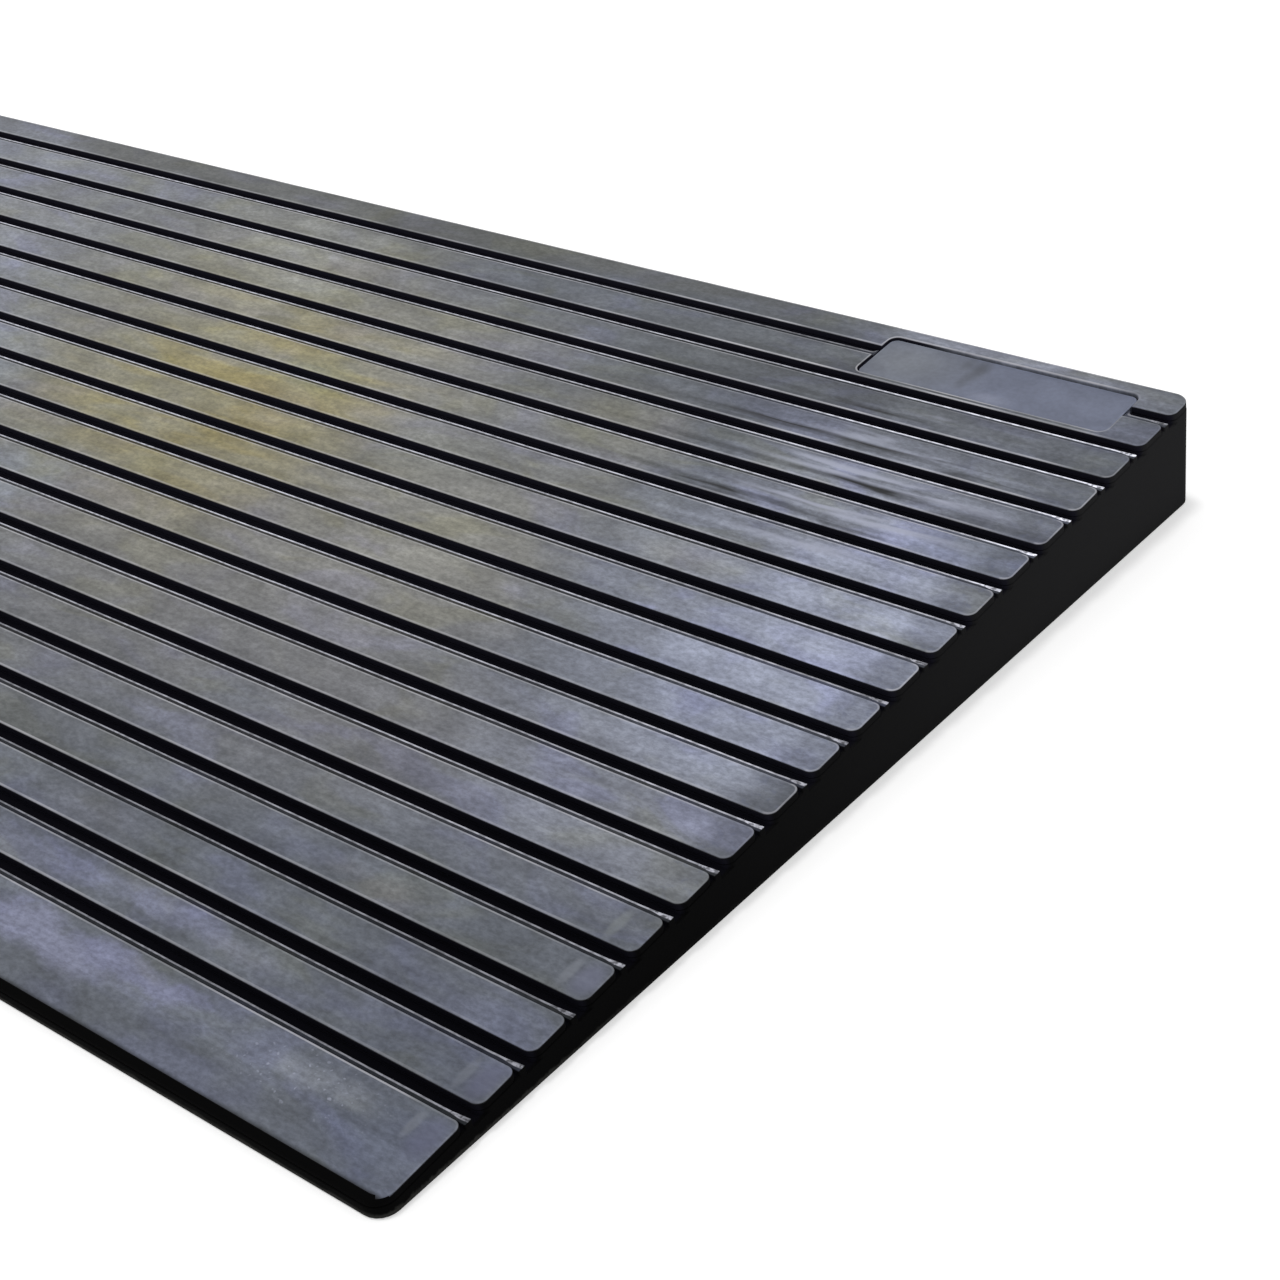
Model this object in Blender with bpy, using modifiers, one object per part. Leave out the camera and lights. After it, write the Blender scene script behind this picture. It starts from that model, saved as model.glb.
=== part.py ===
"""Rubber threshold ramp: a solid black wedge with a tread of separate strips seated across its slope.

Units are metres and +Z is up. The origin is on the floor under the middle of the ramp. X runs across the
direction of travel and Y runs uphill, from the thin front edge to the tall back face.
"""
import math
from collections import namedtuple

import bmesh
import bpy

# Wedge
WIDTH = 0.900                  # across the ramp, from side wall to side wall
RUN = 0.514                    # level distance from the front edge to the back face
NOSE_HEIGHT = 0.008            # height of the tread at the front edge
BACK_HEIGHT = 0.050            # height of the tread at the back face
WEDGE_CORNER_RADIUS = 0.008    # the four upright corners of the wedge, seen from above

# Tread pattern, measured up the slope
FRONT_STRIP_WIDTH = 0.040
STRIP_WIDTH = 0.0188
LEDGE_WIDTH = 0.0036           # strip of the wedge that shows behind each tread strip
GROOVE_WIDTH = 0.0041
LEAST_TOP_STRIP_WIDTH = 0.015  # the strip at the back takes what is left, but never less than this

# Tread pattern, measured down from the tops of the strips
STRIP_THICKNESS = 0.0030
LEDGE_DROP = 0.0012
GROOVE_DEPTH = 0.0050

# Rounding of the tread, seen from above and along its upper edges
DOWNHILL_CORNER_RADIUS = 0.0042
UPHILL_CORNER_RADIUS = 0.0037
STRIP_EDGE_RADIUS = 0.0008

# Bare plate near the back right corner
PLATE_LENGTH = 0.130
PLATE_SIDE_MARGIN = 0.021      # from the right side wall to the plate
PLATE_BACK_MARGIN = 0.008      # from the back edge of the tread to the plate
PLATE_FRONT_LIP = 0.0039       # width of the strip that is left in front of the plate
PLATE_DROP = 0.0012            # how far the plate lies below the tops of the strips
PLATE_CORNER_RADIUS = 0.0040
PLATE_EDGE_RADIUS = 0.0003
PLATE_END_WALL = 0.0012        # rubber between the plate's pocket and the groove that it interrupts

# Fit and fineness
FIT_GAP = 0.0003               # clearance between a piece and its seat
CUT_MARGIN = 0.004             # how far a cutter reaches past the rubber that it cuts
ARC_STEPS = 6                  # straight steps in a quarter turn
EDGE_STEPS = 2                 # steps in a rounded upper edge
WELD_DISTANCE = 0.00001
FLAT_ANGLE = math.radians(1)
SHARP_ANGLE = math.radians(35)

# Colours as linear red, green and blue
BASE_COLOUR = (0.010, 0.010, 0.011, 1.0)
STRIP_COLOUR = (0.125, 0.132, 0.145, 1.0)
PLATE_COLOUR = (0.165, 0.178, 0.215, 1.0)
BASE_ROUGHNESS = 0.80
STRIP_ROUGHNESS = 0.55
PLATE_ROUGHNESS = 0.50

# Worked out from the sizes above
SLOPE = math.atan2(BACK_HEIGHT - NOSE_HEIGHT, RUN)
SLOPE_LENGTH = math.hypot(BACK_HEIGHT - NOSE_HEIGHT, RUN)
HALF_WIDTH = WIDTH / 2
PITCH = STRIP_WIDTH + LEDGE_WIDTH + GROOVE_WIDTH
SEAT_DEPTH = STRIP_THICKNESS + FIT_GAP
SECOND_STRIP_START = FRONT_STRIP_WIDTH + LEDGE_WIDTH + GROOVE_WIDTH
# A strip's faces stand square to the slope, so its lower edge would reach out past the upright back face.
TREAD_END = SLOPE_LENGTH - STRIP_THICKNESS * math.tan(SLOPE)
EQUAL_STRIPS = math.floor((TREAD_END - SECOND_STRIP_START - LEAST_TOP_STRIP_WIDTH) / PITCH)


Strip = namedtuple("Strip", "name start width downhill_radius uphill_radius")


def clear_scene():
    for item in list(bpy.data.objects):
        bpy.data.objects.remove(item, do_unlink=True)


def new_collection(name):
    collection = bpy.data.collections.new(name)
    bpy.context.scene.collection.children.link(collection)
    return collection


def material(name, colour, roughness):
    made = bpy.data.materials.new(name)
    made.use_nodes = True
    shader = made.node_tree.nodes["Principled BSDF"]
    shader.inputs["Base Color"].default_value = colour
    shader.inputs["Roughness"].default_value = roughness
    shader.inputs["Metallic"].default_value = 0.0
    made.diffuse_color = colour
    return made


def tread_strips():
    """Every tread strip from the front edge to the back. At the ramp's own corners it follows the wedge."""
    strips = [Strip("front_tread_strip", 0.0, FRONT_STRIP_WIDTH, WEDGE_CORNER_RADIUS, UPHILL_CORNER_RADIUS)]
    start = SECOND_STRIP_START
    for count in range(EQUAL_STRIPS):
        name = f"tread_strip_{count + 2:02d}"
        strips.append(Strip(name, start, STRIP_WIDTH, DOWNHILL_CORNER_RADIUS, UPHILL_CORNER_RADIUS))
        start += PITCH
    width_left = TREAD_END - start
    strips.append(Strip("top_tread_strip", start, width_left, DOWNHILL_CORNER_RADIUS, WEDGE_CORNER_RADIUS))
    return strips


def plate_rectangle():
    """Left, right, front and back edges of the bare plate on the slope."""
    right = HALF_WIDTH - PLATE_SIDE_MARGIN
    front = tread_strips()[-2].start + PLATE_FRONT_LIP
    return right - PLATE_LENGTH, right, front, TREAD_END - PLATE_BACK_MARGIN


def pocket_rectangle():
    """Edges of the pocket that holds the plate, with its clearance all round."""
    left, right, front, back = plate_rectangle()
    return left - FIT_GAP, right + FIT_GAP, front - FIT_GAP, back + FIT_GAP


def arc(centre_x, centre_y, radius, from_degrees, to_degrees):
    """Points along an arc, with ARC_STEPS steps in a quarter turn."""
    steps = max(1, round(abs(to_degrees - from_degrees) / 90 * ARC_STEPS))
    points = []
    for step in range(steps + 1):
        angle = math.radians(from_degrees + (to_degrees - from_degrees) * step / steps)
        points.append((centre_x + radius * math.cos(angle), centre_y + radius * math.sin(angle)))
    return points


def rounded_rectangle(left, right, front, back, front_radius, back_radius, front_notch=(), back_notch=()):
    """Outline from the front edge's right end round to its left end. Either long edge can take a notch."""
    return (arc(right - front_radius, front + front_radius, front_radius, -90, 0)
            + arc(right - back_radius, back - back_radius, back_radius, 0, 90)
            + list(back_notch)
            + arc(left + back_radius, back - back_radius, back_radius, 90, 180)
            + arc(left + front_radius, front + front_radius, front_radius, 180, 270)
            + list(front_notch))


def outline_mesh(name, outlines, lowest, highest):
    """Closed mesh of flat outlines raised from one height above the slope to another."""
    curve = bpy.data.curves.new(name, "CURVE")
    curve.dimensions = "2D"
    curve.fill_mode = "BOTH"
    curve.extrude = (highest - lowest) / 2
    for outline in outlines:
        spline = curve.splines.new("POLY")
        spline.points.add(len(outline) - 1)
        for point, (x, y) in zip(spline.points, outline):
            point.co = (x, y, 0.0, 1.0)
        spline.use_cyclic_u = True
    drawn = bpy.data.objects.new(name, curve)
    bpy.context.scene.collection.objects.link(drawn)
    evaluated = drawn.evaluated_get(bpy.context.evaluated_depsgraph_get())
    mesh = bpy.data.meshes.new_from_object(evaluated)
    bpy.data.objects.remove(drawn, do_unlink=True)

    shape = bmesh.new()
    shape.from_mesh(mesh)
    bmesh.ops.remove_doubles(shape, verts=shape.verts, dist=WELD_DISTANCE)
    bmesh.ops.dissolve_limit(shape, angle_limit=FLAT_ANGLE, verts=shape.verts, edges=shape.edges)
    bmesh.ops.translate(shape, verts=shape.verts, vec=(0.0, 0.0, (highest + lowest) / 2))
    bmesh.ops.recalc_face_normals(shape, faces=shape.faces)
    shape.to_mesh(mesh)
    shape.free()
    mesh.name = name
    return mesh


def place(name, mesh, collection, parent, start=0.0):
    """Object for a mesh, carried by the frame of the slope at a distance up it."""
    made = bpy.data.objects.new(name, mesh)
    made.parent = parent
    made.location.y = start
    collection.objects.link(made)
    return made


def finish_mesh(mesh, finish):
    """Give a rounded piece its material and smooth shading between its sharp edges."""
    mesh.materials.append(finish)
    mesh.shade_smooth()
    mesh.set_sharp_from_angle(angle=SHARP_ANGLE)


def make_cutter(name, mesh, collection, parent):
    cutter = place(name, mesh, collection, parent)
    cutter.hide_render = True
    cutter.display_type = "WIRE"
    return cutter


def cut(piece, cutter):
    modifier = piece.modifiers.new(f"cut by {cutter.name}", "BOOLEAN")
    modifier.operation = "DIFFERENCE"
    modifier.solver = "EXACT"
    modifier.object = cutter


def mark_upper_edges(mesh):
    """Give a bevel weight to the edges round the top face."""
    top = max(vertex.co.z for vertex in mesh.vertices)
    weights = mesh.attributes.new("bevel_weight_edge", "FLOAT", "EDGE")
    for edge in mesh.edges:
        if all(top - mesh.vertices[index].co.z < WELD_DISTANCE for index in edge.vertices):
            weights.data[edge.index].value = 1.0


def round_marked_edges(piece, radius):
    bevel = piece.modifiers.new("rounded upper edges", "BEVEL")
    bevel.limit_method = "WEIGHT"
    bevel.width = radius
    bevel.segments = EDGE_STEPS


def notches(strip):
    """Notches in a strip's front and back edges, where the plate's pocket reaches into it."""
    left, right, front, back = pocket_rectangle()
    front -= strip.start
    back -= strip.start
    radius = PLATE_CORNER_RADIUS + FIT_GAP
    strips = tread_strips()
    if strip == strips[-2]:
        return [], ([(right, strip.width)]
                    + arc(right - radius, front + radius, radius, 0, -90)
                    + arc(left + radius, front + radius, radius, 270, 180)
                    + [(left, strip.width)])
    if strip == strips[-1]:
        return ([(left, 0.0)]
                + arc(left + radius, back - radius, radius, 180, 90)
                + arc(right - radius, back - radius, radius, 90, 0)
                + [(right, 0.0)]), []
    return [], []


def strip_mesh(strip, finish):
    front_notch, back_notch = notches(strip)
    outline = rounded_rectangle(-HALF_WIDTH, HALF_WIDTH, 0.0, strip.width,
                                strip.downhill_radius, strip.uphill_radius, front_notch, back_notch)
    mesh = outline_mesh(strip.name, [outline], -STRIP_THICKNESS, 0.0)
    mark_upper_edges(mesh)
    finish_mesh(mesh, finish)
    return mesh


def make_strips(collection, slope_frame, finish):
    """Place every strip in its seat. The equal strips without a notch share a mesh."""
    strips = tread_strips()
    equal_mesh = strip_mesh(strips[1], finish)
    for strip in strips:
        mesh = equal_mesh if strip in strips[1:-2] else strip_mesh(strip, finish)
        made = place(strip.name, mesh, collection, slope_frame, strip.start)
        round_marked_edges(made, STRIP_EDGE_RADIUS)


def make_plate(collection, slope_frame, finish):
    outline = rounded_rectangle(*plate_rectangle(), PLATE_CORNER_RADIUS, PLATE_CORNER_RADIUS)
    mesh = outline_mesh("label_plate", [outline], -STRIP_THICKNESS, -PLATE_DROP)
    mark_upper_edges(mesh)
    finish_mesh(mesh, finish)
    plate = place("label_plate", mesh, collection, slope_frame)
    round_marked_edges(plate, PLATE_EDGE_RADIUS)


def make_wedge(collection, finish):
    """Solid wedge whose top face is the plane of the ledges, with its four upright corners rounded."""
    ledge_fall = LEDGE_DROP / math.cos(SLOPE)
    shape = bmesh.new()
    bmesh.ops.create_cube(shape, size=1.0)
    for vertex in shape.verts:
        at_back = vertex.co.y > 0
        height = (BACK_HEIGHT if at_back else NOSE_HEIGHT) - ledge_fall
        vertex.co.x *= WIDTH
        vertex.co.y *= RUN
        vertex.co.z = height if vertex.co.z > 0 else 0.0
    upright = [edge for edge in shape.edges
               if abs(edge.verts[0].co.x - edge.verts[1].co.x) < WELD_DISTANCE
               and abs(edge.verts[0].co.y - edge.verts[1].co.y) < WELD_DISTANCE]
    bmesh.ops.bevel(shape, geom=upright, offset=WEDGE_CORNER_RADIUS, segments=ARC_STEPS,
                    profile=0.5, affect="EDGES")
    mesh = bpy.data.meshes.new("ramp_base")
    shape.to_mesh(mesh)
    shape.free()
    mesh.materials.append(finish)
    return place("ramp_base", mesh, collection, None)


def seat_outlines():
    """One rectangle for each strip's seat, open at both ends and on the downhill side."""
    reach = HALF_WIDTH + CUT_MARGIN
    strips = tread_strips()
    outlines = []
    for strip in strips:
        front = strip.start - (CUT_MARGIN if strip == strips[0] else GROOVE_WIDTH / 2)
        back = strip.start + strip.width + (CUT_MARGIN if strip == strips[-1] else FIT_GAP)
        outlines.append([(-reach, front), (reach, front), (reach, back), (-reach, back)])
    return outlines


def groove_mouth(side, front, back):
    """Outline of a groove where it runs out at a side wall and rounds the corner of the next land."""
    reach = side * (HALF_WIDTH + CUT_MARGIN)
    radius = DOWNHILL_CORNER_RADIUS
    corner = arc(HALF_WIDTH - radius, back + radius, radius, 0, -90)
    return [(reach, front), (reach, back + radius)] + [(side * x, y) for x, y in corner]


def groove_stop(x, side, front, back):
    """Half-round end of a groove that stops at x, from its front edge to its back edge."""
    radius = (back - front) / 2
    middle = (front + back) / 2
    return [(x + side * (along - radius), across) for along, across in arc(0.0, middle, radius, -90, 90)]


def groove_outlines():
    """The grooves between the lands. The last one stops short of the plate's pocket on both sides."""
    strips = tread_strips()
    pocket_left, pocket_right = pocket_rectangle()[:2]
    outlines = []
    for upper in strips[1:]:
        front = upper.start - GROOVE_WIDTH
        left = groove_mouth(-1, front, upper.start)
        right = groove_mouth(1, front, upper.start)
        if upper == strips[-1]:
            outlines.append(left[::-1] + groove_stop(pocket_left - PLATE_END_WALL, 1, front, upper.start))
            outlines.append(right[::-1] + groove_stop(pocket_right + PLATE_END_WALL, -1, front, upper.start))
        else:
            outlines.append(left[::-1] + right)
    return outlines


def build():
    clear_scene()
    parts = new_collection("threshold ramp")
    cutters = new_collection("cutters")
    black_rubber = material("black rubber", BASE_COLOUR, BASE_ROUGHNESS)
    tread_rubber = material("tread rubber", STRIP_COLOUR, STRIP_ROUGHNESS)
    plate_rubber = material("plate rubber", PLATE_COLOUR, PLATE_ROUGHNESS)

    slope_frame = bpy.data.objects.new("slope_frame", None)
    slope_frame.location = (0.0, -RUN / 2, NOSE_HEIGHT)
    slope_frame.rotation_euler = (SLOPE, 0.0, 0.0)
    parts.objects.link(slope_frame)

    seats = make_cutter("seat_cutter", outline_mesh("seat_cutter", seat_outlines(), -SEAT_DEPTH, CUT_MARGIN),
                        cutters, slope_frame)
    grooves = make_cutter("groove_cutter",
                          outline_mesh("groove_cutter", groove_outlines(), -GROOVE_DEPTH, CUT_MARGIN),
                          cutters, slope_frame)
    pocket_radius = PLATE_CORNER_RADIUS + FIT_GAP
    pocket_outline = rounded_rectangle(*pocket_rectangle(), pocket_radius, pocket_radius)
    pocket = make_cutter("pocket_cutter",
                         outline_mesh("pocket_cutter", [pocket_outline], -SEAT_DEPTH, CUT_MARGIN),
                         cutters, slope_frame)

    base = make_wedge(parts, black_rubber)
    cut(base, seats)
    cut(base, grooves)
    cut(base, pocket)

    make_strips(parts, slope_frame, tread_rubber)
    make_plate(parts, slope_frame, plate_rubber)


build()
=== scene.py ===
"""Moulded rubber surfaces for a doorway ramp, and the pale studio floor that it stands on.

Lengths are metres. The tread has a frame of its own: X runs across the ramp, Y runs up the slope from the
front edge and Z stands square to the slope, with the tops of the strips at zero.
"""
import math
from collections import namedtuple

import bmesh
import bpy
from bpy.props import FloatProperty, FloatVectorProperty, IntProperty, PointerProperty
from bpy.types import Operator, Panel, PropertyGroup
from mathutils import Matrix, Quaternion, Vector, noise


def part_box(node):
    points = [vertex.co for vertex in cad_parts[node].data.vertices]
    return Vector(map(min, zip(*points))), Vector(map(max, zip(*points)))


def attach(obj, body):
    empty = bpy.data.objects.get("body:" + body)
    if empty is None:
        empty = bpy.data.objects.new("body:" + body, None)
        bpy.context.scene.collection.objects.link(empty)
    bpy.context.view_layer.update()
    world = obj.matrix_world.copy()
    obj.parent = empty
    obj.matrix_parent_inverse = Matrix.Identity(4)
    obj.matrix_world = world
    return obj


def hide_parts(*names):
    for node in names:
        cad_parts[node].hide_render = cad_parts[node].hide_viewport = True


bl_info = {
    "name": "Rubber Doorway Ramp",
    "version": (1, 0, 0),
    "blender": (4, 5, 0),
    "location": "View3D > Sidebar > Doorway Ramp",
    "description": "Moulds the base, tread strips and plate of a rubber doorway ramp and sets up its studio",
    "category": "Object",
}

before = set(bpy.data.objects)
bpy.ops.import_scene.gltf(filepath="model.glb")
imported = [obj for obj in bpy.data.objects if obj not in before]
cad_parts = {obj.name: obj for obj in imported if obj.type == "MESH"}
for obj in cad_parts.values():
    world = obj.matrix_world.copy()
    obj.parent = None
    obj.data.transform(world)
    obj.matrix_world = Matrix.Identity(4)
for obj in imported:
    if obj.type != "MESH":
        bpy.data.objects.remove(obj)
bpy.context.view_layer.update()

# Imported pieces
BASE_NODE = "ramp_base"
PLATE_NODE = "label_plate"
FRONT_NODE = "front_tread_strip"
TOP_NODE = "top_tread_strip"
STRIP_NODES = sorted(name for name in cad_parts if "tread_strip" in name)
LOW_NODE, HIGH_NODE = "tread_strip_02", "tread_strip_17"

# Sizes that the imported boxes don't give
STRIP_DOWNHILL_CORNER = 0.0042
STRIP_UPHILL_CORNER = 0.0037
RAMP_CORNER = 0.0080
PLATE_CORNER = 0.0040
SEAT_GAP = 0.0003
LEDGE_WIDTH = 0.0036
LEDGE_DEPTH = 0.0012
GROOVE_DEPTH = 0.0050

# Mesh work
WELD_DISTANCE = 0.000001
FLAT_ANGLE = math.radians(0.5)
EDGE_ANGLE = math.radians(25)
SHARP_ANGLE = math.radians(50)
CORNER_STEPS = 10
ROUND_STEPS = 4
CUT_SNAP = 0.00001
SWAY_LENGTH = 0.045
LIP_REACH = 0.3
FLARE_START = 0.2
RIM_START = 0.5
RIPPLE_LENGTHS = Vector((0.080, 0.009, 1.0))
BLOOM_DEPTH = 0.0004

# Floor, camera and light
FLOOR_DROP = 0.0002
FLOOR_CUTS = 24
FLOOR_ROUGHNESS = 0.9
WHITE = (1.0, 1.0, 1.0, 1.0)
CAMERA_PLACE = Vector((0.8947, -0.5695, 0.5451))
CAMERA_AIM = Vector((0.3067, 0.0434, 0.0))
CAMERA_ROLL = math.radians(-7.8)
CAMERA_LENS = 66.93
SENSOR_WIDTH = 36.0
LIGHT_PLACE = Vector((-0.30, -0.02, 2.2))

Corner = namedtuple("Corner", "x y out_x out_y")
# An oval on the tread, and the colour or number that it brings in, if it isn't only a mask
Patch = namedtuple("Patch", "x y reach_x reach_y strength fade value", defaults=(None,))
# A noise with so many grains per metre along each axis, and the smooth step that is made of it
Pattern = namedtuple("Pattern", "grain detail roughness distortion step", defaults=(2.0, 0.5, 0.0, None))


def tread_frame():
    """Where the tread's own frame lies, read off two equal strips and the front strip."""
    low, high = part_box(LOW_NODE)[0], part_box(HIGH_NODE)[0]
    turn = Matrix.Rotation(math.atan2(high.z - low.z, high.y - low.y), 4, "X")
    level = [turn.inverted() @ vertex.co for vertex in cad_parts[FRONT_NODE].data.vertices]
    return turn @ Matrix.Translation((0.0, min(p.y for p in level), max(p.z for p in level)))


TREAD = tread_frame()


def tread_box(node):
    """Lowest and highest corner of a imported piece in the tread's frame."""
    places = [TREAD.inverted() @ vertex.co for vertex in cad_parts[node].data.vertices]
    return Vector(map(min, *places)), Vector(map(max, *places))


FIRST_START = tread_box(LOW_NODE)[0].y
PITCH = (tread_box(HIGH_NODE)[0].y - FIRST_START) / (int(HIGH_NODE[-2:]) - int(LOW_NODE[-2:]))

# Tints of the bloom, as shares of its colour. The lavender tint is painted sheen, which stands in for
# reflected sky light
LAVENDER_SHEEN = (1.04, 1.035, 1.18)
SAND = (1.00, 0.99, 0.87)
GOLD = (1.07, 0.985, 0.68)
# Colours of the pale specks and painted sheen and of the pits on the strips, of the painted highlight on
# their edges, and of the painted highlight on a ledge's lip
PALE_SPECK_AND_SHEEN = (0.38, 0.40, 0.50)
PITTED = (0.105, 0.120, 0.185)
HIGHLIGHT_COLOUR = (0.60, 0.595, 0.64)
LIP_HIGHLIGHT_COLOUR = (0.97, 0.98, 1.11)

# Sockets of the mix node, whose names repeat
MIX_FACTOR, MIX_VALUES, MIX_COLOURS = 0, (2, 3), (6, 7)
MIXED_VALUE, MIXED_COLOUR = 0, 2


class DoorwayRampTread(PropertyGroup):
    crisp_round: FloatProperty(
        name="Crisp Rounding", unit="LENGTH", default=0.00035, min=0.0001, max=0.0010,
        description="Radius of the upper edges at the ends and the uphill side of a strip")
    soft_round: FloatProperty(
        name="Soft Rounding", unit="LENGTH", default=0.0007, min=0.0001, max=0.0024,
        description="Radius of the upper edge on the downhill side of a strip")
    nose_round: FloatProperty(
        name="Nose Rounding", unit="LENGTH", default=0.0026, min=0.0001, max=0.0029,
        description="Drop of the rounded upper edge along the front of the ramp")
    nose_reach: FloatProperty(
        name="Nose Reach", unit="LENGTH", default=0.0050, min=0.0001, max=0.0080,
        description="How far back from the front of the ramp its rounding starts")
    # The rim of this width is painted light as a highlight along the edges of a strip
    rim_width: FloatProperty(
        name="Rim Width", unit="LENGTH", default=0.0008, min=0.0002, max=0.0015,
        description="Width of the rubbed line along the edges of a strip")
    column_spacing: FloatProperty(
        name="Column Spacing", unit="LENGTH", default=0.008, min=0.002, max=0.050,
        description="Distance between the cross cuts that let a long piece wander")
    row_spacing: FloatProperty(
        name="Row Spacing", unit="LENGTH", default=0.0024, min=0.001, max=0.020,
        description="Distance between the cuts along a strip")
    wander: FloatProperty(
        name="Edge Wander", unit="LENGTH", default=0.0002, min=0.0, max=0.0005,
        description="How far the moulded edges stray inwards from a straight line")
    ripple: FloatProperty(
        name="Surface Ripple", unit="LENGTH", default=0.0001, min=0.0, max=0.0005,
        description="Depth of the shallow ripples in the tops of the strips")
    bloom: FloatVectorProperty(
        name="Bloom", subtype="COLOR", size=3, default=(0.117, 0.129, 0.154), min=0.0, max=1.0,
        description="Colour of the dry bloom on the rubber")
    roughness: FloatProperty(
        name="Roughness", subtype="FACTOR", default=0.44, min=0.0, max=1.0,
        description="Roughness of the worn tops")


class DoorwayRampBase(PropertyGroup):
    edge_round: FloatProperty(
        name="Edge Rounding", unit="LENGTH", default=0.00045, min=0.0001, max=0.0008,
        description="Radius of the edges of the base")
    edge_steps: IntProperty(
        name="Edge Steps", default=3, min=1, max=6,
        description="Steps in each rounded edge of the base")
    lip_draft: FloatProperty(
        name="Lip Draft", unit="LENGTH", default=0.0010, min=0.0, max=0.0015,
        description="How far the lip of the lowest ledge leans back from its groove. Higher ledges lean less")
    rubber: FloatVectorProperty(
        name="Black Rubber", subtype="COLOR", size=3, default=(0.0060, 0.0060, 0.0063), min=0.0, max=1.0,
        description="Colour of the rubber where it carries no bloom")
    groove: FloatVectorProperty(
        name="Groove", subtype="COLOR", size=3, default=(0.0100, 0.0098, 0.0158), min=0.0, max=1.0,
        description="Colour of the dusty rubber in the grooves")
    dust: FloatVectorProperty(
        name="Dust", subtype="COLOR", size=3, default=(0.034, 0.034, 0.032), min=0.0, max=1.0,
        description="Colour of the dust low on the walls")
    roughness: FloatProperty(
        name="Roughness", subtype="FACTOR", default=0.85, min=0.0, max=1.0,
        description="Roughness of the walls")


class DoorwayRampPlate(PropertyGroup):
    edge_round: FloatProperty(
        name="Edge Rounding", unit="LENGTH", default=0.0005, min=0.0001, max=0.0010,
        description="Radius of the upper edge of the plate")
    bloom: FloatVectorProperty(
        name="Bloom", subtype="COLOR", size=3, default=(0.145, 0.162, 0.225), min=0.0, max=1.0,
        description="Colour of the plate's bloom")
    roughness: FloatProperty(
        name="Roughness", subtype="FACTOR", default=0.50, min=0.0, max=1.0,
        description="Roughness of the plate")


class DoorwayRampStudio(PropertyGroup):
    floor_size: FloatProperty(
        name="Floor Size", unit="LENGTH", default=12.0, min=2.0, max=40.0,
        description="Length of a side of the studio floor")
    floor_colour: FloatVectorProperty(
        name="Floor", subtype="COLOR", size=3, default=(0.78, 0.78, 0.78), min=0.0, max=1.0,
        description="Colour of the studio floor")
    floor_glow: FloatProperty(
        name="Floor Glow", default=0.40, min=0.0, max=1.0,
        description="Light added to the floor where it is seen, so that it stays white round the shadow")
    ambient_light: FloatProperty(
        name="Ambient Light", default=0.68, min=0.0, max=2.0,
        description="Strength of the even light from all round")
    overhead_light: FloatProperty(
        name="Overhead Light", default=0.85, min=0.0, max=5.0,
        description="Strength of the soft light from above")
    overhead_spread: FloatProperty(
        name="Overhead Spread", subtype="ANGLE", default=math.radians(9), min=0.0, max=math.pi / 2,
        description="Angle over which the overhead light spreads, which softens its shadows")


def add_node(tree, kind, inputs, **settings):
    """Shader node whose inputs are constants or other nodes' outputs."""
    made = tree.nodes.new(kind)
    for name, value in settings.items():
        setattr(made, name, value)
    for key, value in inputs.items():
        if isinstance(value, bpy.types.NodeSocket):
            tree.links.new(value, made.inputs[key])
        else:
            made.inputs[key].default_value = value
    return made


def maths(tree, operation, *values):
    """One step of arithmetic."""
    return add_node(tree, "ShaderNodeMath", dict(enumerate(values)), operation=operation).outputs[0]


def product(tree, result, *factors):
    """All the values multiplied together."""
    for factor in factors:
        result = maths(tree, "MULTIPLY", result, factor)
    return result


def vector_maths(tree, operation, *values):
    """One step of arithmetic on places or colours."""
    made = add_node(tree, "ShaderNodeVectorMath", dict(enumerate(values)), operation=operation)
    return made.outputs["Vector"]


def scale_colour(tree, colour, tone):
    """The colour, lighter or darker."""
    made = add_node(tree, "ShaderNodeVectorMath", {0: colour, "Scale": tone}, operation="SCALE")
    return made.outputs["Vector"]


def smooth_step(tree, value, low, high, at_low=0.0, at_high=1.0):
    """Smooth change from one value to another as the input goes from low to high."""
    return add_node(tree, "ShaderNodeMapRange", {
        "Value": value, "From Min": low, "From Max": high, "To Min": at_low, "To Max": at_high,
    }, interpolation_type="SMOOTHSTEP").outputs["Result"]


def band(tree, value, low, full, ebb, high):
    """One between two values and zero outside, with soft flanks."""
    return product(tree, smooth_step(tree, value, low, full), smooth_step(tree, value, ebb, high, 1.0, 0.0))


def mix_values(tree, factor, first, second):
    """A number between two others."""
    inputs = {MIX_FACTOR: factor, **dict(zip(MIX_VALUES, (first, second)))}
    return add_node(tree, "ShaderNodeMix", inputs).outputs[MIXED_VALUE]


def mix_colours(tree, factor, first, second):
    """A colour between two others."""
    colours = [value if isinstance(value, bpy.types.NodeSocket) else (*value, 1.0)
               for value in (first, second)]
    inputs = {MIX_FACTOR: factor, **dict(zip(MIX_COLOURS, colours))}
    return add_node(tree, "ShaderNodeMix", inputs, data_type="RGBA").outputs[MIXED_COLOUR]


def stretched_noise(tree, place, pattern):
    """The noise of a pattern, or the smooth step that is made of it."""
    made = add_node(tree, "ShaderNodeTexNoise", {
        "Vector": vector_maths(tree, "MULTIPLY", place, pattern.grain), "Scale": 1.0,
        "Detail": pattern.detail, "Roughness": pattern.roughness, "Distortion": pattern.distortion,
    }).outputs["Fac"]
    return smooth_step(tree, made, *pattern.step) if pattern.step else made


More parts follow.
